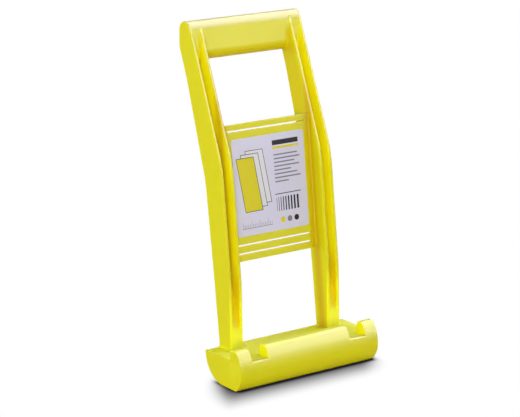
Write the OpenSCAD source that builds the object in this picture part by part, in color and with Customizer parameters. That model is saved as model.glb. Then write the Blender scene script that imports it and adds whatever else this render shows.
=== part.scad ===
// Panel carrier: a hand-held hook for walking with sheets of board.
// The sheet stands in the trough of the foot and leans on the two side rails.
// X runs along the foot, Y to the back, Z up. The origin is the middle of the flat sole.

/* [Overall] */
// Height from the ground to the top of the grip
carrier_h = 368; // [350:1:400]
// Clear width between the side rails
rail_gap = 112; // [95:1:130]

/* [Foot] */
// Length of the foot from end to end
foot_l = 182; // [170:1:240]
// Height of the trough floor above the ground
foot_h = 31; // [26:1:38]
// Radius of the foot's rounded back
foot_back_r = 31; // [20:1:38]
// Wall of the foot's shell
foot_wall = 3.5; // [2.5:0.5:5]
// Thickness of the ribs inside the foot
rib_t = 2.5; // [1.5:0.5:4]
// Height of the nose, which is the foremost line of the foot
nose_h = 19; // [15:1:23]
// How far the nose stands ahead of the sole
nose_reach = 9.5; // [6:0.5:12]
// Radius of the front of the foot above the nose
nose_r = 36; // [32:1:60]

/* [Trough and lip] */
// Clear width of the trough at its floor
trough_w = 24; // [18:1:32]
// Height of the lip above the trough floor
lip_h = 12.5; // [9:0.5:16]
// Depth from the nose to the lip's inner wall at the trough floor
lip_d = 19.6; // [17:0.2:26]
// How far the lip's inner wall leans forward over its height
lip_lean = 2.8; // [0:0.2:4]
// Radius of the lip's outer top edge
lip_front_r = 5.5; // [2:0.5:7]
// Radius of the lip's inner top edge
lip_back_r = 1.5; // [0.5:0.5:3]
// How much wider than the rail a notch in the lip is, on each side
notch_clearance = 2.1; // [1:0.1:6]

/* [Side rails] */
// Width of a rail
rail_w = 16.5; // [10:0.5:18]
// Thickness of a rail's two flanges
flange_t = 3.4; // [1.5:0.1:4]
// Depth of a rail where it stands on the foot
rail_foot_d = 20.2; // [16:0.2:26]
// Height at which the front groove begins
groove_start_h = 46; // [40:1:80]
// Height of the slight bend above the foot
bend_h = 100; // [90:1:110]
// Setback of a rail's front at the bend, from its front at the foot
bend_front_set = 2.1; // [0:0.1:6]
// Setback of a rail's back at the bend, from its front at the foot
bend_back_set = 29.4; // [24:0.2:34]
// Drop from the top to the knee on the front
knee_front_drop = 144; // [135:1:155]
// Setback of the knee on the front
knee_front_set = 17; // [12:0.5:22]
// Drop from the top to the knee on the back
knee_back_drop = 163; // [150:1:175]
// Setback of the knee on the back
knee_back_set = 44.8; // [40:0.2:48]
// Drop from the top to where the back turns out towards the grip
neck_drop = 60; // [54:1:68]
// How far the neck lies ahead of the grip's back
neck_set = 13.2; // [10:0.2:18]
// Drop from the top to where the back reaches the grip
shoulder_drop = 27; // [20:1:34]

/* [Grip] */
// Height of the grip
grip_h = 42; // [32:1:50]
// Thickness of the grip, which has full round edges
grip_d = 18.4; // [14:0.2:24]
// Wall of the hollow grip
grip_wall = 3; // [2:0.5:5]
// Setback of the grip's middle from the rails' front at the foot
grip_set = 81.7; // [74:0.1:90]

/* [Plate and slats] */
// Thickness of the plate, the slats and the rails' webs
plate_t = 3; // [2:0.2:4]
// Depth of the plate and the webs behind the rails' front
plate_set = 15.7; // [13:0.1:18]
// Length of the plate along its slope
plate_l = 119.4; // [100:0.2:122]
// Width of each lower slat along the slope
slat_h = 7.1; // [5:0.1:10]
// Width of the upper slat along the slope
upper_slat_h = 6.2; // [5:0.1:10]
// Height of the slot beside a slat
slot_h = 1.8; // [1:0.1:3]
// Solid length between a slot's end and the rail
slot_end = 6; // [4:0.5:15]
// Clear height of the hand opening, from the upper slat to the grip
hand_opening_h = 63.6; // [54:0.2:68]

/* [Label] */
// Width of the label
label_w = 94; // [60:1:98]
// Height of the label along the slope
label_h = 103.5; // [60:0.5:108]
// Thickness of the label
label_t = 0.3; // [0.2:0.1:0.6]
// Radius of the label's corners
label_r = 3; // [1:0.5:8]
// How far the label sits to the right of the middle
label_shift = 0.5; // [0:0.5:5]
// Distance from the plate's top edge to the label's top edge
label_drop = 7.8; // [3:0.2:12]

/* [Hidden] */
$fn = 64;
yellow_plastic = [0.87, 0.85, 0.08];
label_paper = [0.86, 0.85, 0.92];

// Cuts run past the surface by this much
overrun = 1;
// Steps along one rounded corner or arc
corner_steps = 8;
crown_steps = 24;
// Largest radii of the rails' gentle bends
bend_r = 200;
knee_r = 140;
shoulder_r = 14;

// Depths counted back from the nose, then moved so that the sole's middle is zero
back_r = min(foot_back_r, foot_h);
rail_front_depth = lip_d + trough_w;
foot_back_depth = rail_front_depth + rail_foot_d;
sole_middle_depth = (nose_reach + foot_back_depth - back_r) / 2;
nose_y = -sole_middle_depth;
sole_front_y = nose_reach - sole_middle_depth;
sole_back_y = -sole_front_y;
lip_inner_y = lip_d - sole_middle_depth;
rail_front_y = rail_front_depth - sole_middle_depth;
foot_back_y = foot_back_depth - sole_middle_depth;

// The chin is the arc from the nose down to the sole, tangent to the front at the nose
chin_r = (nose_reach * nose_reach + nose_h * nose_h) / (2 * nose_reach);
lip_top_h = foot_h + lip_h;
lip_round_h = lip_top_h - lip_front_r;
lip_round_rise = lip_round_h - nose_h;
lip_round_reach = nose_r - lip_front_r;
lip_round_angle = 180 - asin(lip_round_rise / lip_round_reach);

// Places across the carrier
rail_mid_x = (rail_gap + rail_w) / 2;
groove_w = rail_w - 2 * flange_t;
notch_w = rail_w + 2 * notch_clearance;
notch_inner_x = rail_mid_x - notch_w / 2;
notch_outer_x = rail_mid_x + notch_w / 2;
end_lip_l = foot_l / 2 - notch_outer_x;

// The grip's section
grip_r = grip_d / 2;
grip_y = rail_front_y + grip_set;
grip_front_y = grip_y - grip_r;
grip_back_y = grip_y + grip_r;
grip_bottom_h = carrier_h - grip_h;
crown_h = carrier_h - grip_r;
grip_low_h = grip_bottom_h + grip_r;

// Corners of a rail's side outline, as depth and height
rail_front_foot = [rail_front_y, foot_h];
bend_front = [rail_front_y + bend_front_set, bend_h];
knee_front = [rail_front_y + knee_front_set, carrier_h - knee_front_drop];
crown_middle = [grip_y, crown_h];
crown_end = [grip_back_y, crown_h];
shoulder = [grip_back_y, carrier_h - shoulder_drop];
neck = [grip_back_y - neck_set, carrier_h - neck_drop];
knee_back = [rail_front_y + knee_back_set, carrier_h - knee_back_drop];
bend_back = [rail_front_y + bend_back_set, bend_h];
rail_back_foot = [foot_back_y, foot_h];

// The upper front edge is tangent to the crown, the round top that rail and grip share
knee_to_crown = crown_middle - knee_front;
upper_lean = atan2(knee_to_crown[0], knee_to_crown[1]) - asin(grip_r / norm(knee_to_crown));
crown_start = crown_middle + grip_r * [-cos(upper_lean), sin(upper_lean)];

// The plate is parallel to the rails' front between bend and knee
plate_lean = atan2(knee_front[0] - bend_front[0], knee_front[1] - bend_front[1]);
web_front_bend = bend_front + [plate_set, 0];
plate_base = web_front_bend + [plate_t / cos(plate_lean), 0];
upper_slat_end = (grip_bottom_h - hand_opening_h - bend_h) / cos(plate_lean);
upper_slat_start = upper_slat_end - upper_slat_h;
plate_end = upper_slat_start - slot_h;
plate_start = plate_end - plate_l;
middle_slat_start = plate_start - slot_h - slat_h;
lower_slat_start = middle_slat_start - slot_h - slat_h;

// The web in a rail keeps the plate's depth up to the grip and slants to the front towards the foot
web_front_knee = knee_front + [plate_set, 0];
web_back_knee = web_front_knee + plate_base - web_front_bend;
web_grip_h = knee_front[1] + (grip_front_y - web_front_knee[0]) / tan(upper_lean);
web_grip = [grip_front_y, web_grip_h];
web_back_grip_y = web_back_knee[0] + (grip_bottom_h - web_back_knee[1]) * tan(upper_lean);
web_back_grip = [web_back_grip_y, grip_bottom_h];
slant_lean = atan2(web_front_bend[0] - rail_front_y, bend_h - groove_start_h);
web_back_low_y = rail_front_y + plate_t / cos(slant_lean);

// Ribs stand under the rails' flanges and share out the bay between them
rib_inner_x = (rail_gap + flange_t) / 2;
rib_outer_x = rail_gap / 2 + rail_w - flange_t / 2;
rib_places = [
    -rib_outer_x, -rib_inner_x, -rib_inner_x / 2, 0, rib_inner_x / 2, rib_inner_x, rib_outer_x
];

function unit(v) = v / norm(v);

function arc(middle, radius, from, to, steps) = [
    for (i = [0:steps]) let (a = from + (to - from) * i / steps) middle + radius * [cos(a), sin(a)]
];

// Rounded corner between two sides, with its radius limited by the shorter side
function fillet(before, corner, after, radius) =
    let (
        u = unit(before - corner),
        v = unit(after - corner),
        half = acos(u * v) / 2,
        room = min(norm(before - corner), norm(after - corner)) / 2,
        reach = min(radius / tan(half), room),
        r = reach * tan(half),
        middle = corner + unit(u + v) * r / sin(half),
        start = corner + u * reach - middle,
        finish = corner + v * reach - middle,
        from = atan2(start[1], start[0]),
        turn = atan2(finish[1], finish[0]) - from,
        sweep = turn > 180 ? turn - 360 : turn < -180 ? turn + 360 : turn
    )
    arc(middle, r, from, from + sweep, corner_steps);

function without_first(points) = [for (i = [1:len(points) - 1]) points[i]];

// Front of the foot from one height up to another, set in by a wall
function front_points(low, high, wall) =
    let (
        chin_angle = 180 + asin((nose_h - low) / (chin_r - wall)),
        nose_angle = 180 - asin((high - nose_h) / (nose_r - wall)),
        chin = arc([nose_y + chin_r, nose_h], chin_r - wall, chin_angle, 180, corner_steps),
        brow = arc([nose_y + nose_r, nose_h], nose_r - wall, 180, nose_angle, corner_steps)
    )
    concat(chin, without_first(brow));

// Turns a side outline to face along X and gives it a width about its middle
module across(width) {
    rotate([90, 0, 90])
        linear_extrude(width, center = true)
            children();
}

// Places a sheet on the plate's slope, from one distance up the slope to another
module on_slope(from) {
    translate([0, plate_base[0], plate_base[1]])
        rotate([-plate_lean, 0, 0])
            translate([0, 0, from])
                children();
}

// Sheet on the slope, from its outline as seen from the front
module slope_sheet(from) {
    color(yellow_plastic)
        on_slope(from)
            rotate([90, 0, 0])
                linear_extrude(plate_t)
                    children();
}

module bar_outline(height) {
    translate([-rail_gap / 2, 0]) square([rail_gap, height]);
}

// A slat and the slot beside it, which it bridges at both ends
module slat(from, height, slot_from) {
    slope_sheet(from)
        difference() {
            bar_outline(height + slot_h);
            translate([slot_end - rail_gap / 2, slot_from])
                square([rail_gap - 2 * slot_end, slot_h + overrun]);
        }
}

module rail_outline() {
    polygon(concat(
        [rail_front_foot],
        fillet(rail_front_foot, bend_front, knee_front, bend_r),
        fillet(bend_front, knee_front, crown_start, knee_r),
        arc(crown_middle, grip_r, 180 - upper_lean, 0, crown_steps),
        fillet(crown_end, shoulder, neck, shoulder_r),
        fillet(shoulder, neck, knee_back, knee_r),
        fillet(neck, knee_back, bend_back, knee_r),
        fillet(knee_back, bend_back, rail_back_foot, bend_r),
        [rail_back_foot]
    ));
}

// Open towards the front: shallow at the foot, then as deep as the web, then up to the grip
module front_groove_outline() {
    open_y = rail_front_y - overrun;
    polygon([
        [open_y, groove_start_h],
        [rail_front_y, groove_start_h],
        web_front_bend,
        web_front_knee,
        web_grip,
        [grip_front_y, carrier_h],
        [open_y, carrier_h]
    ]);
}

// Open towards the back, from a floor above the foot up to the grip
module back_groove_outline() {
    open_y = grip_back_y + overrun;
    floor_h = foot_h + plate_t;
    polygon([
        [web_back_low_y, floor_h],
        [open_y, floor_h],
        [open_y, grip_bottom_h],
        web_back_grip,
        web_back_knee,
        plate_base,
        [web_back_low_y, groove_start_h]
    ]);
}

module side_rail() {
    color(yellow_plastic)
        difference() {
            across(rail_w) rail_outline();
            across(groove_w) front_groove_outline();
            across(groove_w) back_groove_outline();
        }
}

module left_side_rail() {
    translate([-rail_mid_x, 0, 0]) side_rail();
}

module right_side_rail() {
    translate([rail_mid_x, 0, 0]) side_rail();
}

module grip_outline(wall) {
    translate([grip_y, crown_h]) circle(grip_r - wall);
    translate([grip_y, grip_low_h]) circle(grip_r - wall);
    translate([grip_front_y + wall, grip_low_h]) square([grip_d - 2 * wall, crown_h - grip_low_h]);
}

// A hollow bar with open ends, which the rails close
module handle_grip() {
    color(yellow_plastic)
        across(rail_gap)
            difference() {
                grip_outline(0);
                grip_outline(grip_wall);
            }
}

module upper_slat() {
    slat(plate_end, upper_slat_h, -overrun);
}

module label_plate() {
    slope_sheet(plate_start) bar_outline(plate_l);
}

module middle_slat() {
    slat(middle_slat_start, slat_h, slat_h);
}

module lower_slat() {
    slat(lower_slat_start, slat_h, slat_h);
}

module foot_outline() {
    polygon(concat(
        arc([sole_back_y, back_r], back_r, 0, -90, crown_steps),
        front_points(0, foot_h, 0),
        [rail_back_foot]
    ));
}

// Hollow of the foot, open to the back and below behind the sole
module foot_hollow_outline() {
    open_y = foot_back_y + overrun;
    polygon(concat(
        front_points(foot_wall, foot_h - foot_wall, foot_wall),
        [
            [open_y, foot_h - foot_wall],
            [open_y, -overrun],
            [sole_back_y, -overrun],
            [sole_back_y, foot_wall]
        ]
    ));
}

module foot() {
    color(yellow_plastic)
        difference() {
            across(foot_l) foot_outline();
            across(foot_l - 2 * foot_wall) foot_hollow_outline();
        }
}

module foot_ribs() {
    color(yellow_plastic)
        for (x = rib_places)
            translate([x, 0, 0])
                across(rib_t)
                    intersection() {
                        foot_outline();
                        foot_hollow_outline();
                    }
}

// The lip carries on the front of the foot and has a rounded top
module lip_outline() {
    nose_middle = [nose_y + nose_r, nose_h];
    lip_round_y = nose_middle[0] - sqrt(pow(lip_round_reach, 2) - pow(lip_round_rise, 2));
    lip_round_middle = [lip_round_y, lip_round_h];
    lip_foot = [lip_inner_y, foot_h];
    lip_corner = [lip_inner_y - lip_lean, lip_top_h];
    polygon(concat(
        arc(nose_middle, nose_r, 180 - asin((foot_h - nose_h) / nose_r), lip_round_angle, corner_steps),
        arc(lip_round_middle, lip_front_r, lip_round_angle, 90, corner_steps),
        fillet([lip_round_y, lip_top_h], lip_corner, lip_foot, lip_back_r),
        [lip_foot]
    ));
}

module lip(middle_x, length) {
    color(yellow_plastic)
        translate([middle_x, 0, 0])
            across(length)
                lip_outline();
}

module left_lip() {
    lip(-notch_outer_x - end_lip_l / 2, end_lip_l);
}

module middle_lip() {
    lip(0, 2 * notch_inner_x);
}

module right_lip() {
    lip(notch_outer_x + end_lip_l / 2, end_lip_l);
}

module label_outline() {
    inner = [label_w - 2 * label_r, label_h - 2 * label_r];
    for (x = [-1, 1], y = [-1, 1])
        translate([x * inner[0] / 2, y * inner[1] / 2])
            circle(label_r);
    square([label_w, inner[1]], center = true);
    square([inner[0], label_h], center = true);
}

module label() {
    color(label_paper)
        on_slope(plate_end - label_drop - label_h / 2)
            translate([label_shift, -plate_t, 0])
                rotate([90, 0, 0])
                    linear_extrude(label_t)
                        label_outline();
}

left_side_rail();
right_side_rail();
handle_grip();
upper_slat();
label_plate();
middle_slat();
lower_slat();
foot();
foot_ribs();
left_lip();
middle_lip();
right_lip();
label();
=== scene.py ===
import bmesh
import bpy
from math import atan2, cos, degrees, radians, sin, sqrt
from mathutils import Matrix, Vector


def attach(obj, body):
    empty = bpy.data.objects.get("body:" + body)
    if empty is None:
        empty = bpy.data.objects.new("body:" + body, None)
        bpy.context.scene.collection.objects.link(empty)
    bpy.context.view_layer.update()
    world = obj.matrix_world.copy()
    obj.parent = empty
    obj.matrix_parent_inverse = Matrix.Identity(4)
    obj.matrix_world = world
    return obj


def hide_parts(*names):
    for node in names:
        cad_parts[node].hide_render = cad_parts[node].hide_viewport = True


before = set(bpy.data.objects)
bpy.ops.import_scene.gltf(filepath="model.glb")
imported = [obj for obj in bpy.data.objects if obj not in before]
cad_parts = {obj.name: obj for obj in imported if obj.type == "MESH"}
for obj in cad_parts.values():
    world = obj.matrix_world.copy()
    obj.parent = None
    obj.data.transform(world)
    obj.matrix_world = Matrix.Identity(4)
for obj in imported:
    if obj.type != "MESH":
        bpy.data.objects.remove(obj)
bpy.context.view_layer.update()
scene = bpy.context.scene
scene.view_settings.view_transform = "Standard"
mm = 0.001
near = 0.02 * mm  # what lies this close to a plane counts as on it
outward = radians(30)  # an edge that bends more than this is an outer corner
print("frame loaded:", len(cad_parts), "nodes")


# selecting and shaping by hand

meshCare = {
    "castMerge": 0.001 * mm, "flatAngle": radians(0.5),
    "runOutMerge": 0.005 * mm,  # where roundings run out
    "smoothAngle": radians(33),
}


def letGo():
    if bpy.context.mode != "OBJECT":
        bpy.ops.object.mode_set(mode="OBJECT")
    bpy.ops.object.select_all(action="DESELECT")


def takeUp(piece):
    letGo()
    bpy.context.view_layer.objects.active = piece
    piece.select_set(True)


def castFrom(node, name):
    # a new object with its own copy of the node's mesh, merged into whole faces
    piece = bpy.data.objects.new(name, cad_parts[node].data.copy())
    scene.collection.objects.link(piece)
    takeUp(piece)
    bpy.ops.object.mode_set(mode="EDIT")
    bpy.ops.mesh.select_all(action="SELECT")
    bpy.ops.mesh.remove_doubles(threshold=meshCare["castMerge"])
    bpy.ops.mesh.dissolve_limited(angle_limit=meshCare["flatAngle"])
    bpy.ops.mesh.select_all(action="DESELECT")
    return piece


def pick(piece, kind, wanted):
    bpy.ops.mesh.select_mode(type=kind)
    bpy.ops.mesh.select_all(action="DESELECT")
    cage = bmesh.from_edit_mesh(piece.data)
    parts = {"VERT": cage.verts, "EDGE": cage.edges}[kind]
    for part in parts:
        if wanted(part):
            part.select_set(True)
    cage.select_flush_mode()
    bmesh.update_edit_mesh(piece.data)


def cutAcross(point, normal):
    bpy.ops.mesh.select_all(action="SELECT")
    bpy.ops.mesh.bisect(plane_co=point, plane_no=normal)
    bpy.ops.mesh.select_all(action="DESELECT")


def roundEdges(piece, wanted, size, steps=3):
    pick(piece, "EDGE", wanted)
    bpy.ops.mesh.bevel(offset=size, segments=steps, profile=0.5, affect="EDGES", clamp_overlap=False)


def roundByShare(piece, size, shares, steps=4):
    # rounds several runs of edges at once, each to its own share of the size
    for share, wanted in shares:
        pick(piece, "EDGE", wanted)
        bpy.ops.transform.edge_bevelweight(value=share)
    bpy.ops.object.mode_set(mode="OBJECT")
    soft = piece.modifiers.new("softEdges", "BEVEL")
    soft.limit_method = "WEIGHT"
    soft.width = size
    soft.segments = steps
    soft.use_clamp_overlap = False
    bpy.ops.object.modifier_apply(modifier=soft.name)
    bpy.ops.object.mode_set(mode="EDIT")


def moveVerts(piece, wanted, shift):
    pick(piece, "VERT", wanted)
    bpy.ops.transform.translate(value=shift)


def flare(radius, steps=4):
    # distance from the wall and lift of a hollow fillet, from its foot to the wall
    turns = [radians(90 * i / steps) for i in range(steps + 1)]
    return [(radius * (1 - sin(t)), radius * (1 - cos(t))) for t in turns]


def middle(edge):
    return (edge.verts[0].co + edge.verts[1].co) / 2


def onX(edge, x):
    return all(abs(abs(v.co.x) - x) < near for v in edge.verts)


def onZ(edge, z):
    return all(abs(v.co.z - z) < near for v in edge.verts)


def liesAlongX(edge):
    return abs(edge.verts[0].co.x - edge.verts[1].co.x) > near


def bend(edge):
    return edge.calc_face_angle_signed(0)  # above zero on an outer edge


def finishPiece(piece, material, slotName, *nodes):
    takeUp(piece)
    bpy.ops.object.mode_set(mode="EDIT")
    bpy.ops.mesh.select_all(action="SELECT")
    bpy.ops.mesh.remove_doubles(threshold=meshCare["runOutMerge"])
    bpy.ops.object.mode_set(mode="OBJECT")
    bpy.ops.object.shade_smooth_by_angle(angle=meshCare["smoothAngle"], keep_sharp_edges=True)
    even = piece.modifiers.new("evenNormals", "WEIGHTED_NORMAL")
    even.keep_sharp = True
    bpy.ops.object.modifier_apply(modifier=even.name)
    piece.data.materials.clear()
    piece.data.materials.append(material)
    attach(piece, "root")
    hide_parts(*nodes)
    letGo()


# shader maths

class Wire:
    def __init__(self, tree, socket=None):
        self.tree = tree
        self.socket = socket

    def node(self, kind, settings=None, values=None, out=0):
        made = self.tree.nodes.new(kind)
        for name, value in (settings or {}).items():
            setattr(made, name, value)
        for name, value in (values or {}).items():
            if isinstance(value, Wire):
                self.tree.links.new(value.socket, made.inputs[name])
            else:
                made.inputs[name].default_value = value
        return Wire(self.tree, made.outputs[out])

    def maths(self, operation, *terms):
        return self.node("ShaderNodeMath", {"operation": operation}, dict(enumerate(terms)))

    def __add__(self, other):
        return self.maths("ADD", self, other)

    def __radd__(self, other):
        return self.maths("ADD", other, self)

    def __sub__(self, other):
        return self.maths("SUBTRACT", self, other)

    def __rsub__(self, other):
        return self.maths("SUBTRACT", other, self)

    def __mul__(self, other):
        return self.maths("MULTIPLY", self, other)

    def __rmul__(self, other):
        return self.maths("MULTIPLY", other, self)

    def __lt__(self, other):
        return self.maths("LESS_THAN", self, other)

    def __abs__(self):
        return self.maths("ABSOLUTE", self)

    def root(self):
        return self.maths("SQRT", self)

    def most(self, other):
        return self.maths("MAXIMUM", self, other)

    def ease(self, low, high):
        # 0 below low, 1 above high, soft in between
        ends = {"From Min": low, "From Max": high, "Value": self}
        return self.node("ShaderNodeMapRange", {"interpolation_type": "SMOOTHSTEP"}, ends)

    def fade(self, low, high):
        return 1 - self.ease(low, high)

    def between(self, rise, fall):
        # 1 from the end of the rise to the start of the fall
        return self.ease(*rise) * self.fade(*fall)

    def tint(self, under, over):
        # the wire is the mask: under at 0, over at 1
        ends = {0: self, 6: under, 7: over}
        return self.node("ShaderNodeMix", {"data_type": "RGBA"}, ends, out=2)

    def noise(self, scale, detail=2.0, rough=0.5):
        grain = {"Vector": self, "Scale": scale, "Detail": detail, "Roughness": rough}
        return self.node("ShaderNodeTexNoise", None, grain)

    def stretch(self, scale):
        return self.node("ShaderNodeMapping", None, {"Vector": self, "Scale": scale})

    def axes(self):
        split = self.node("ShaderNodeSeparateXYZ", None, {"Vector": self})
        outs = split.socket.node.outputs
        return [Wire(self.tree, outs[i]) for i in range(3)]


def newMaterial(name):
    material = bpy.data.materials.new(name)
    material.use_nodes = True
    material.node_tree.nodes.clear()
    start = Wire(material.node_tree)
    place = start.node("ShaderNodeTexCoord", None, None, out=3)  # Object coordinates
    return material, start, place


def lay(wire, surface):
    end = wire.tree.nodes.new("ShaderNodeOutputMaterial")
    wire.tree.links.new(surface.socket, end.inputs["Surface"])


# the plate's plane: a point on its back and how far it leans
platePlane = {"base": (0, 43.268 * mm, 100 * mm), "lean": 6.852, "thick": 3 * mm}
along = Vector((0, sin(radians(platePlane["lean"])), cos(radians(platePlane["lean"]))))
ahead = Vector((0, -along.z, along.y))
plateBase = Vector(platePlane["base"])

plasticLook = {
    "fresh": (0.680, 0.646, 0.0050, 1),
    "deep": (0.660, 0.613, 0.0030, 1),
    # painted light and shade, laid on in this order: lighter tones stand for light bounced inside the
    # yellow and for soft sheen, darker ones for shade in corners and under the grip
    "paintedLight": {
        # painted bounced light in the grooves and on the notch walls
        "groove": (0.940, 0.860, 0.0025, 1),  # and the notch walls
        # painted light on the trough floor and on the rails' fronts near the foot
        "trough": (0.870, 0.870, 0.0020, 1),  # and the rails' fronts near the foot
        # painted shade, warm with bounced light, under the grip and in the nooks beside the rails
        "gripUnderShade": (0.735, 0.518, 0.0025, 1),
        # painted shade beside the plate and on the rails' inner faces
        "corner": (0.585, 0.393, 0.0025, 1),  # beside the plate, and the rails' inner faces
        # painted sheen on the grip's front
        "gripFrontSheen": (0.805, 0.768, 0.0960, 1),
        # painted highlight along the crown
        "crown": (0.630, 0.570, 0.140, 1),
        # painted light and sheen on the lips' tops
        "lipTopLit": (0.860, 0.860, 0.036, 1),
        # painted bounced light, more orange, low in the grooves
        "grooveLow": (0.845, 0.674, 0.0020, 1),
    },
    "scuffed": (0.685, 0.650, 0.134, 1), "scuffShare": 0.5,
    # noise settings, its soft threshold and its share in the deeper colour
    "clouds": ((13, 3, 0.55), (0.35, 0.7), 0.55),  # slow drift in the pigment
    "flow": ((1, 2), (0.3, 0.75), 0.25), "flowStretch": (30, 90, 9),  # faint flow lines up the rails
    "speck": ((900, 1), (0.62, 0.74), 0.12),
    "mottle": (170, 3, 0.6),
    "grain": (2400, 2, 0.6),  # spark texture of the tool
    "soleUp": (0.2 * mm, 1.6 * mm),
    "scuff": ((1, 4, 0.7), (0.52, 0.66)), "scuffStretch": (40, 900, 900),
    "specular": 0.12,
    "roughLow": 0.38, "roughHigh": 0.47, "roughScuff": 0.2, "roughHollow": 0.4,
    "bump": 0.16, "bumpHeight": 0.05 * mm, "bumpScuff": 1.5,
    "glow": 0.30,  # light that wanders inside the plastic
    "glowReach": (1.0, 0.65, 0.03),
    "glowScale": 3 * mm,
}

# where the painted light and shade lie, in mm: pairs are the two ends of a soft border, two pairs a rise
# and a fall
paintedLightAt = {
    # the rails' front line: height and depth at its three bends, and its slopes
    "frontLine": ((31, 22.45, 0.0304), (100, 24.55, 0.1202), (224, 39.45, 0.4060)),
    "grooveX": ((58.4, 59.5), (69.0, 70.1)), "grooveZ": ((33, 40), (350, 361)),
    "grooveMouth": (0.1, 1.6), "grooveFloor": (16.2, 18), "grooveRamp": ((40, 45), (52, 60)),
    "webY": 9.625, "webSlope": 0.3212, "webSoft": (-0.5, 0.5),  # the web's slanting lower end
    "lowMouth": (1.0, 3.0), "lowZ": ((42, 50), (95, 125)),
    "notchX": (53.9, 74.6), "notchSoft": (0.2, 1.2), "notchZ": ((31, 33), (40, 46)), "notchY": (-2, 0),
    "footTop": 31, "troughSoft": (0.3, 1.5), "troughY": ((-17, -13), (41.2, 42)), "troughEnd": (89.6, 90.2),
    "toeSoft": (0.8, 2.0), "toeX": ((55.6, 56.2), (72.0, 72.45)), "toeZ": ((30.6, 31.4), (70, 105)),
    "innerX": 56, "cornerSoft": (0.5, 11),
    "innerSoft": (0.15, 1.2), "innerMouth": (1.5, 7), "innerZ": ((90, 160), (335, 360)),
    "gripZ": (322, 325), "underZ": (328, 340), "underEnd": (55.5, 57),
    "gripY": 94.95, "nookSoft": (0.5, 7), "nookZ": (345, 358),
    "frontSoft": (0.5, 2.5), "frontZ": ((335, 339), (358, 365)), "frontEnd": (69.2, 70.4),
    "crownZ": (358, 363), "crownY": (105, 111), "crownEnd": (71.2, 72.2),
    "lipZ": (40.5, 43), "lipY": (5, 8),
    "notchShare": 0.8, "underShare": 0.6, "nookShare": 0.7, "cornerShare": 0.85, "innerShare": 0.3,
}


# masks of the places where light and shade are painted into the colour
def paintedLightPlaces(place):
    at = paintedLightAt
    x, y, z = [axis * (1 / mm) for axis in place.axes()]
    side = abs(x)
    front = None
    for height, depth, slope in at["frontLine"]:
        line = depth - slope * height + z * slope
        front = line if front is None else front.most(line)
    behind = y - front
    groove = side.between(*at["grooveX"]) * z.between(*at["grooveZ"]) * behind.fade(*at["grooveFloor"])
    groove = groove * behind.ease(*at["grooveMouth"]).most(z.between(*at["grooveRamp"]))
    groove = groove * (y - (at["webY"] + z * at["webSlope"])).fade(*at["webSoft"])
    grooveLow = groove * behind.ease(*at["lowMouth"]) * z.between(*at["lowZ"])
    innerWall, outerWall = [abs(side - wall).fade(*at["notchSoft"]) for wall in at["notchX"]]
    notch = innerWall.most(outerWall) * z.between(*at["notchZ"]) * y.fade(*at["notchY"])
    trough = abs(z - at["footTop"]).fade(*at["troughSoft"]) * y.between(*at["troughY"])
    trough = trough * side.fade(*at["troughEnd"])
    toe = abs(behind).fade(*at["toeSoft"]) * side.between(*at["toeX"]) * z.between(*at["toeZ"])
    lean = radians(platePlane["lean"])
    baseY, baseZ = [size / mm for size in platePlane["base"][1:]]
    lift = (z - baseZ) * sin(lean) - (y - baseY) * cos(lean) - platePlane["thick"] / mm
    gap = at["innerX"] - side
    corner = (gap * gap + lift * lift).root().fade(*at["cornerSoft"])
    inner = abs(gap).fade(*at["innerSoft"]) * behind.ease(*at["innerMouth"]) * z.between(*at["innerZ"])
    atGrip = z.ease(*at["gripZ"])
    under = atGrip * z.fade(*at["underZ"]) * side.fade(*at["underEnd"])
    deep = y - at["gripY"]
    nook = (gap * gap + deep * deep).root().fade(*at["nookSoft"]) * atGrip * z.fade(*at["nookZ"])
    gripFrontSheen = abs(deep).fade(*at["frontSoft"]) * z.between(*at["frontZ"]) * side.fade(*at["frontEnd"])
    gripFrontSheen = gripFrontSheen * (1 - nook)
    return {
        "groove": (groove * (1 - gripFrontSheen)).most(notch * at["notchShare"]),
        "trough": trough.most(toe),
        "gripUnderShade": (under * at["underShare"]).most(nook * at["nookShare"]),
        "corner": (corner * at["cornerShare"]).most(inner * at["innerShare"]),
        "gripFrontSheen": gripFrontSheen,
        "crown": z.ease(*at["crownZ"]) * y.fade(*at["crownY"]) * side.fade(*at["crownEnd"]),
        "lipTopLit": z.ease(*at["lipZ"]) * y.fade(*at["lipY"]),
        "grooveLow": grooveLow,
    }


def makePlastic():
    look = plasticLook
    material, start, place = newMaterial("mouldedYellow")
    z = place.axes()[2]
    deeper = 0
    for name, ground in (("clouds", place), ("flow", place.stretch(look["flowStretch"])), ("speck", place)):
        grain, ends, share = look[name]
        deeper = deeper + ground.noise(*grain).ease(*ends) * share
    colour = deeper.tint(look["fresh"], look["deep"])
    masks = paintedLightPlaces(place)
    # painted light and shade laid over the pigment
    for name, tone in look["paintedLight"].items():
        colour = masks[name].tint(colour, tone)
    hollow = masks["groove"].most(masks["trough"])  # hollows shine less
    streaks, ends = look["scuff"]
    scuff = z.fade(*look["soleUp"]) * place.stretch(look["scuffStretch"]).noise(*streaks).ease(*ends)
    colour = (scuff * look["scuffShare"]).tint(colour, look["scuffed"])
    rough = look["roughLow"] + (look["roughHigh"] - look["roughLow"]) * place.noise(*look["mottle"])
    rough = rough + scuff * look["roughScuff"] + hollow * look["roughHollow"]
    height = place.noise(*look["grain"]) + scuff * look["bumpScuff"]
    relief = start.node("ShaderNodeBump", None, {
        "Strength": look["bump"], "Distance": look["bumpHeight"], "Height": height})
    surface = start.node("ShaderNodeBsdfPrincipled", None, {
        "Base Color": colour, "Roughness": rough, "Normal": relief,
        "Specular IOR Level": look["specular"], "Subsurface Weight": look["glow"],
        "Subsurface Radius": look["glowReach"], "Subsurface Scale": look["glowScale"]})
    lay(start, surface)
    return material


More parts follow.
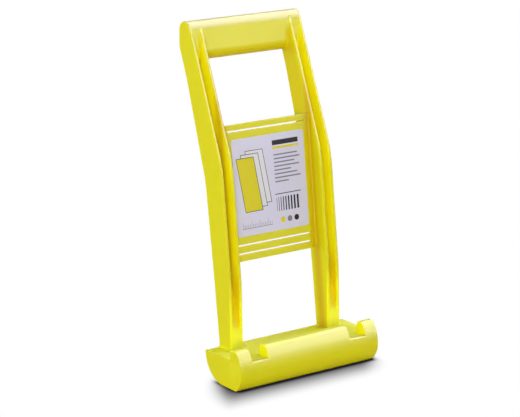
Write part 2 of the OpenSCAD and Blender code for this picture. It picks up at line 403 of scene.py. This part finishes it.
labelLook = {
    "middle": (0.5 * mm, 96.02 * mm),  # across and up the slope
    "paper": (0.635, 0.622, 0.797, 1),
    "warm": (0.652, 0.635, 0.780, 1), "warmShare": 0.6,
    "black": (0.012, 0.012, 0.016, 1),
    "grey": (0.20, 0.20, 0.24, 1),
    "yellow": (0.67, 0.585, 0.010, 1),
    "white": (0.70, 0.692, 0.750, 1),
    "fibre": (420, 3, 0.65), "fibreEnds": (0.3, 0.7), "crease": (60, 2),
    "specular": 0.06, "rough": 0.52, "roughFibre": 0.12,
    "bump": 0.12, "bumpHeight": 0.1 * mm, "bumpFibre": 0.4,
    # print, in mm from the label's middle: a bar is its middle, its half sizes and its colour
    "sheets": ((13, 7, "white"), (6.5, 3.5, "white"), (0, 0, "yellow")),  # shifts of leaning sheets
    "sheetAt": (-27, 2), "sheetSkew": 0.14,
    "sheetRim": (11.5, 29, 0.6), "sheetFace": (10.8, 28.3, 0.3),  # half sizes and corner
    "bands": ((22, 42, 17, 2.6, "black"), (22, 36.6, 17, 1.2, "yellow")),  # plain heading
    "rules": (31, 34, 27, 33, 22, 30, 34, 18),  # lengths of the grey lines
    "ruleAt": (6, 29), "rulePitch": 4.1, "ruleHalf": 0.75, "ruleCorner": 0.2,
    "divider": (22, -13, 17, 0.45, "black"),
    "strokes": 9, "strokeAt": (6.5, -24), "strokeHalf": 7.5,  # strokes that grow in weight
    "strokeWeight": 0.25, "strokeGrow": 0.12, "strokeGap": 2.1,
    "ticks": 18, "tickAt": (-39, -43.5), "tickPitch": 2.2, "tickHalf": 0.22,  # scale along the foot
    "tickLong": 3.2, "tickShort": 1.8, "longEvery": 5,
    "scaleLine": (-20.5, -44, 19.5, 0.3, "grey"),
    "dots": ((13, "yellow"), (22, "grey"), (31, "black")),
    "dotUp": -41, "dotHalf": 3.1, "dotCorner": 3.0,
}


def makeLabelPaper():
    look = labelLook
    material, start, place = newMaterial("printedPaper")
    spot = plateBase + along * look["middle"][1] + ahead * platePlane["thick"]
    turned = start.node("ShaderNodeMapping", {"vector_type": "TEXTURE"}, {
        "Vector": place, "Location": (look["middle"][0], spot.y, spot.z),
        "Rotation": (-radians(platePlane["lean"]), 0, 0)})
    across, _, up = turned.axes()
    u = across * (1 / mm)
    w = up * (1 / mm)

    def bar(cu, cw, halfU, halfW, corner=0.01, su=u):
        du = (abs(su - cu) - (halfU - corner)).most(0)
        dw = (abs(w - cw) - (halfW - corner)).most(0)
        return (du * du + dw * dw) < corner * corner

    fibre = turned.noise(*look["fibre"])
    colour = (fibre.ease(*look["fibreEnds"]) * look["warmShare"]).tint(look["paper"], look["warm"])
    skew = u + w * look["sheetSkew"]
    sheetU, sheetW = look["sheetAt"]
    for shift, rise, fill in look["sheets"]:
        for half, shade in ((look["sheetRim"], "black"), (look["sheetFace"], fill)):
            sheet = bar(sheetU + shift, sheetW + rise, *half, su=skew)
            colour = sheet.tint(colour, look[shade])
    for *band, shade in look["bands"]:
        colour = bar(*band).tint(colour, look[shade])
    ruleU, ruleW = look["ruleAt"]
    for row, length in enumerate(look["rules"]):
        line = bar(ruleU + length / 2, ruleW - row * look["rulePitch"],
                   length / 2, look["ruleHalf"], look["ruleCorner"])
        colour = line.tint(colour, look["grey"])
    *band, shade = look["divider"]
    colour = bar(*band).tint(colour, look[shade])
    strokeU, strokeW = look["strokeAt"]
    for n in range(look["strokes"]):
        weight = look["strokeWeight"] + n * look["strokeGrow"]
        colour = bar(strokeU, strokeW, weight, look["strokeHalf"]).tint(colour, look["black"])
        strokeU += 2 * weight + look["strokeGap"]
    tickU, tickW = look["tickAt"]
    for n in range(look["ticks"]):
        tall = look["tickShort"] if n % look["longEvery"] else look["tickLong"]
        tick = bar(tickU + n * look["tickPitch"], tickW + tall, look["tickHalf"], tall)
        colour = tick.tint(colour, look["grey"])
    *band, shade = look["scaleLine"]
    colour = bar(*band).tint(colour, look[shade])
    for dotU, shade in look["dots"]:
        dot = bar(dotU, look["dotUp"], look["dotHalf"], look["dotHalf"], look["dotCorner"])
        colour = dot.tint(colour, look[shade])
    relief = start.node("ShaderNodeBump", None, {
        "Strength": look["bump"], "Distance": look["bumpHeight"],
        "Height": fibre * look["bumpFibre"] + turned.noise(*look["crease"])})
    surface = start.node("ShaderNodeBsdfPrincipled", None, {
        "Base Color": colour, "Roughness": look["rough"] + fibre * look["roughFibre"],
        "Normal": relief, "Specular IOR Level": look["specular"]})
    lay(start, surface)
    return material


yellow = makePlastic()
paper = makeLabelPaper()
print("materials made")


# side rails

railMake = {
    "outX": 72.5 * mm, "inX": 56 * mm,
    "grooveX": (59.4 * mm, 69.1 * mm),
    "standZ": 31 * mm,
    "edgeRound": 1.4 * mm, "grooveRound": 0.9 * mm,
    # the rounding shrinks round the crown, from the front edges to the crisp back edges
    "backShare": 0.35, "frontTurn": 157.9, "shareSteps": 40,
    "gripStartZ": 352 * mm, "gripBackY": 100 * mm, "gripBackZ": 326 * mm,
    "footFlare": 2.2 * mm, "flareSteps": 6, "backY": 42.65 * mm, "footDepth": 20.2 * mm,
}


def makeRail(node, name, side):
    make = railMake
    piece = castFrom(node, name)
    steps = make["shareSteps"]

    def atGrip(edge):  # here rail and grip share one outline
        spot = middle(edge)
        atBack = spot.y > make["gripBackY"] and spot.z > make["gripBackZ"]
        return spot.z > make["gripStartZ"] or atBack

    def outline(edge):
        inner = onX(edge, make["inX"]) and not atGrip(edge)
        return (inner or onX(edge, make["outX"])) and not onZ(edge, make["standZ"])

    def level(edge):  # 0 where the strip beside the edge faces back, full where it faces the front
        strip = min(edge.link_faces, key=lambda face: abs(face.normal.x))
        turn = degrees(atan2(strip.normal.z, strip.normal.y)) / make["frontTurn"]
        return min(max(round(turn * steps), 0), steps)

    roundByShare(piece, make["edgeRound"], [
        (make["backShare"] + (1 - make["backShare"]) * n / steps,
         lambda e, n=n: outline(e) and level(e) == n)
        for n in range(steps + 1)])
    innerWall, outerWall = make["grooveX"]

    def mouth(edge):  # edges where a groove opens
        inWall = onX(edge, innerWall) or onX(edge, outerWall)
        return inWall and bend(edge) > outward

    roundEdges(piece, mouth, make["grooveRound"])
    rings = [(make["standZ"] + away, lift) for away, lift in flare(make["footFlare"], make["flareSteps"])]
    for z, _ in rings:
        if z > make["standZ"] + near:
            cutAcross((0, 0, z), (0, 0, 1))
    halfWidth = (make["outX"] - make["inX"]) / 2
    for z, lift in rings:  # the rail spreads where it stands on the foot
        pick(piece, "VERT", lambda v, z=z: abs(v.co.z - z) < near)
        wide = 1 + lift / halfWidth
        deep = 1 + lift / make["footDepth"]
        foot = (side * (make["inX"] + halfWidth), make["backY"], z)
        bpy.ops.transform.resize(value=(wide, deep, 1), center_override=foot)
    finishPiece(piece, yellow, "yellow_plastic", node)


makeRail("left_side_rail", "leftRail", -1)
makeRail("right_side_rail", "rightRail", 1)
print("rails made")


# grip

gripMake = {
    "endX": 56 * mm, "lowMiddle": (0, 104.15 * mm, 335.2 * mm), "radius": 9.2 * mm, "skin": 0.5 * mm,
    "flare": 2.6 * mm,
    "fade": ((102 * mm, 1.0), (105 * mm, 0.6), (108 * mm, 0.25)),  # the flare weakens towards the back
}


def makeGrip():
    make = gripMake
    piece = castFrom("handle_grip", "gripBar")
    rings = [(make["endX"] - away, lift) for away, lift in flare(make["flare"])]
    for place, _ in rings:
        if place < make["endX"] - near:
            for side in (-1, 1):
                cutAcross((side * place, 0, 0), (1, 0, 0))
    lowY, lowZ = make["lowMiddle"][1:]
    for place, lift in rings:
        below = -1
        for reachY, share in make["fade"]:
            def ringPart(v, low=below, high=reachY, at=place):
                radial = sqrt((v.co.y - lowY) ** 2 + (v.co.z - lowZ) ** 2)
                outside = radial > make["radius"] - make["skin"]
                inBand = low < v.co.y <= high and v.co.z < lowZ + near
                return abs(abs(v.co.x) - at) < near and outside and inBand
            pick(piece, "VERT", ringPart)
            grow = 1 + lift * share / make["radius"]
            bpy.ops.transform.resize(value=(1, grow, grow), center_override=make["lowMiddle"])
            below = reachY
    finishPiece(piece, yellow, "yellow_plastic", "handle_grip")


makeGrip()
print("grip made")


# plate and slats

sheetMake = {
    "endX": 56 * mm, "slotX": 50 * mm, "slotRound": 0.5 * mm, "freeBend": radians(60),
    "frontFlare": 2.2 * mm, "backFlare": 1.4 * mm, "flareSteps": 7,
    "topUp": 156 * mm, "lowUp": 19 * mm,  # beyond these the outermost slats have no neighbour
}


def makeSheet(node, name, free):
    # free tells which edges of the sheet meet no neighbour, by their place up the slope and across
    make = sheetMake
    piece = castFrom(node, name)
    for side in (-1, 1):
        cutAcross((side * make["slotX"], 0, 0), (1, 0, 0))

    def exposed(edge):
        spot = middle(edge)
        up = (spot - plateBase).dot(along)
        return liesAlongX(edge) and bend(edge) > make["freeBend"] and free(up, abs(spot.x))

    roundEdges(piece, exposed, make["slotRound"])
    for key, front in (("frontFlare", True), ("backFlare", False)):
        rings = [(make["endX"] - away, lift) for away, lift in flare(make[key], make["flareSteps"])]
        for place, _ in rings:
            if place < make["endX"] - near:
                for side in (-1, 1):
                    cutAcross((side * place, 0, 0), (1, 0, 0))
        for place, lift in rings:
            def skin(v, at=place):
                depth = (v.co - plateBase).dot(ahead)
                return abs(abs(v.co.x) - at) < near and (depth > platePlane["thick"] / 2) == front
            moveVerts(piece, skin, ahead * (lift if front else -lift))
    finishPiece(piece, yellow, "yellow_plastic", node)


def inSlot(up, x):
    return x < sheetMake["slotX"]


makeSheet("label_plate", "labelBacking", inSlot)
makeSheet("upper_slat", "slatAbove", lambda up, x: up > sheetMake["topUp"] or inSlot(up, x))
makeSheet("middle_slat", "slatMiddle", inSlot)
makeSheet("lower_slat", "slatBelow", lambda up, x: up < sheetMake["lowUp"] or inSlot(up, x))
print("plate and slats made")


# foot, ribs and lips

footMake = {
    "endX": 91 * mm, "topZ": 31 * mm, "lipY": -1.55 * mm, "notchX": (53.9 * mm, 74.6 * mm),
    "railX": (56 * mm, 72.5 * mm), "backY": 42 * mm, "noseY": -10 * mm,
    "endRound": 0.9 * mm, "backRound": 1.0 * mm, "lipEndRound": 0.7 * mm, "roundSteps": 4,
    "notchRound": 1.8 * mm, "notchKeep": 0.6 * mm,  # keeps the notch's rounding out of the long front
    "lipFlare": 1.6 * mm, "flareSteps": 5, "lipInnerY": -8 * mm,
}


def makeFoot():
    make = footMake
    piece = castFrom("foot", "footShell")
    innerNotch, outerNotch = make["notchX"]
    innerRail, outerRail = make["railX"]
    keep = make["notchRound"] + make["notchKeep"]
    for x in make["notchX"] + make["railX"] + (innerNotch - keep, outerNotch + keep):
        for side in (-1, 1):
            cutAcross((side * x, 0, 0), (1, 0, 0))
    cutAcross((0, make["lipY"], 0), (0, 1, 0))

    def endEdge(edge):
        underLip = onZ(edge, make["topZ"]) and middle(edge).y < make["lipY"]
        return onX(edge, make["endX"]) and not underLip and bend(edge) > outward

    roundEdges(piece, endEdge, make["endRound"], make["roundSteps"])

    def notchEdge(edge):
        spot = middle(edge)
        inNotch = innerNotch < abs(spot.x) < outerNotch
        return inNotch and onZ(edge, make["topZ"]) and spot.y < make["noseY"] and bend(edge) > outward

    roundEdges(piece, notchEdge, make["notchRound"], make["roundSteps"])

    def rearEdge(edge):
        spot = middle(edge)
        underRail = innerRail < abs(spot.x) < outerRail
        atRear = onZ(edge, make["topZ"]) and spot.y > make["backY"]
        return liesAlongX(edge) and atRear and not underRail

    roundEdges(piece, rearEdge, make["backRound"])
    finishPiece(piece, yellow, "yellow_plastic", "foot")


def makeRibs():
    piece = castFrom("foot_ribs", "footStiffeners")
    finishPiece(piece, yellow, "yellow_plastic", "foot_ribs")


def makeLip(node, name):
    make = footMake
    piece = castFrom(node, name)

    def free(edge):
        return not liesAlongX(edge) and not onZ(edge, make["topZ"])

    def atNotch(edge):
        return any(onX(edge, x) for x in make["notchX"])

    roundEdges(piece, lambda e: free(e) and onX(e, make["endX"]), make["endRound"], make["roundSteps"])
    roundEdges(piece, lambda e: free(e) and atNotch(e), make["lipEndRound"])
    rings = [(make["topZ"] + away, lift) for away, lift in flare(make["lipFlare"], make["flareSteps"])]
    for z, _ in rings:
        if z > make["topZ"] + near:
            cutAcross((0, 0, z), (0, 0, 1))
    for z, lift in rings:  # hollow fillet where the lip's inner wall meets the trough
        def innerWall(v, at=z):
            return abs(v.co.z - at) < near and v.co.y > make["lipInnerY"]
        moveVerts(piece, innerWall, (0, lift, 0))
    finishPiece(piece, yellow, "yellow_plastic", node)


makeFoot()
makeRibs()
makeLip("left_lip", "lipLeft")
makeLip("middle_lip", "lipMiddle")
makeLip("right_lip", "lipRight")
print("foot made")


# label

labelMake = {"rimRound": 0.14 * mm, "rimSteps": 2, "rimLift": 0.2 * mm, "rimBend": radians(45)}


def makeLabel():
    make = labelMake
    piece = castFrom("label", "paperLabel")

    def rim(edge):
        lift = (middle(edge) - plateBase).dot(ahead) - platePlane["thick"]
        return lift > make["rimLift"] and bend(edge) > make["rimBend"]

    roundEdges(piece, rim, make["rimRound"], make["rimSteps"])
    finishPiece(piece, paper, "label_paper", "label")


makeLabel()
print("label made")


# floor, light and camera

studio = {
    "floorSize": 14,
    "sky": 0.325,
    "white": (1, 1, 1, 1),
    "floorPale": (0.62, 0.56, 0.44, 1),
    # a soft shadow drawn round the foot's outline on the floor
    "shade": (0.035, 0.030, 0.036, 1),
    "soleHalf": (91 * mm, 11.65 * mm),
    "shadeGrow": (0.33, 1.4, 0.3075),  # left, right, front and back
    "shadeEnds": (-2.0 * mm, 15.2 * mm), "shadeBlend": 4 * mm,
    "shadeSide": (0.808, -0.589), "leftFade": (-101 * mm, -73 * mm), "rightFade": (66 * mm, 97 * mm),
    # and a painted contact shadow where it touches, darkened by ambient occlusion
    "contact": (0.012, 0.009, 0.014, 1),
    "contactReach": 0.007, "contactEnds": (0.3, 0.98), "contactSamples": 16,
    "lamps": (
        # name, towards the lamp, how wide it looks in degrees, strength, lights or only shines
        ("keyBox", (0.96, -0.10, 0.22), 40, 2.04, True),
        ("frontFill", (-0.60, -0.79, 0.14), 20, 1.67, True),
        ("sideFill", (-0.98, -0.10, 0.16), 50, 1.08, True),
        ("backFill", (-0.20, 0.95, 0.20), 60, 1.60, True),
        ("topSheen", (0.573, -0.04, 0.817), 60, 22.0, False),
        ("frontSheen", (0.573, -0.66, 0.48), 34, 12.0, False),
    ),
}


def seenRays(start):
    # 1 where the white surroundings are looked at or mirrored, 0 where they light
    path = start.node("ShaderNodeLightPath").socket.node.outputs
    seen = Wire(start.tree, path["Is Camera Ray"])
    seen = seen.most(Wire(start.tree, path["Is Glossy Ray"]))
    return seen.most(Wire(start.tree, path["Is Transmission Ray"]))


def makeFloor():
    bpy.ops.mesh.primitive_plane_add(size=studio["floorSize"], location=(0, 0, 0))
    floor = bpy.context.object
    floor.name = "studioFloor"
    material, start, place = newMaterial("paleFloor")
    matt = start.node("ShaderNodeBsdfDiffuse", None, {"Color": studio["floorPale"]})
    x, y = place.axes()[:2]
    halfX, halfY = studio["soleHalf"]
    leftGrow, rightGrow, frontGrow = studio["shadeGrow"]
    ends = ((x + halfX) * -leftGrow).most((x - halfX) * rightGrow)
    away = ends.maths("SMOOTH_MAX", ends, (abs(y) - halfY) * frontGrow, studio["shadeBlend"])
    across = x * studio["shadeSide"][0] + y * studio["shadeSide"][1]
    dark = away.fade(*studio["shadeEnds"]) * across.between(studio["leftFade"], studio["rightFade"])
    close = start.node("ShaderNodeAmbientOcclusion", {"samples": studio["contactSamples"]}, {
        "Distance": studio["contactReach"]}, out=1)
    white = dark.tint(studio["white"], studio["shade"])
    white = close.ease(*studio["contactEnds"]).tint(studio["contact"], white)
    glow = start.node("ShaderNodeEmission", None, {"Color": white, "Strength": 1.0})
    surface = start.node("ShaderNodeMixShader", None, {0: seenRays(start), 1: matt, 2: glow})
    lay(start, surface)
    floor.data.materials.append(material)


def makeSky():
    world = bpy.data.worlds.new("studioSky")
    scene.world = world
    world.use_nodes = True
    world.node_tree.nodes.clear()
    start = Wire(world.node_tree)
    strength = studio["sky"] + (1 - studio["sky"]) * seenRays(start)
    back = start.node("ShaderNodeBackground", None, {"Color": studio["white"], "Strength": strength})
    end = start.tree.nodes.new("ShaderNodeOutputWorld")
    start.tree.links.new(back.socket, end.inputs["Surface"])


def makeLamps():
    for name, towards, width, strength, lights in studio["lamps"]:
        lamp = bpy.data.lights.new(name, "SUN")
        lamp.angle = radians(width)
        lamp.energy = strength
        stand = bpy.data.objects.new(name, lamp)
        scene.collection.objects.link(stand)
        stand.rotation_euler = Vector(towards).to_track_quat("Z", "Y").to_euler()
        stand.visible_diffuse = lights


viewFrom = {
    "eye": (-1.2737, -1.6753, 0.7292), "turn": -36.122, "tilt": 14.658,
    "lens": 144.97, "sensor": 36, "farEnd": 50,
}


def makeCamera():
    cam = bpy.data.cameras.new("photoView")
    cam.sensor_width = viewFrom["sensor"]
    cam.lens = viewFrom["lens"]
    cam.clip_end = viewFrom["farEnd"]
    tripod = bpy.data.objects.new("photoView", cam)
    scene.collection.objects.link(tripod)
    tripod.location = viewFrom["eye"]
    tripod.rotation_euler = (radians(90 - viewFrom["tilt"]), 0, radians(viewFrom["turn"]))
    scene.camera = tripod


letGo()
makeFloor()
makeSky()
makeLamps()
makeCamera()
print("studio made")
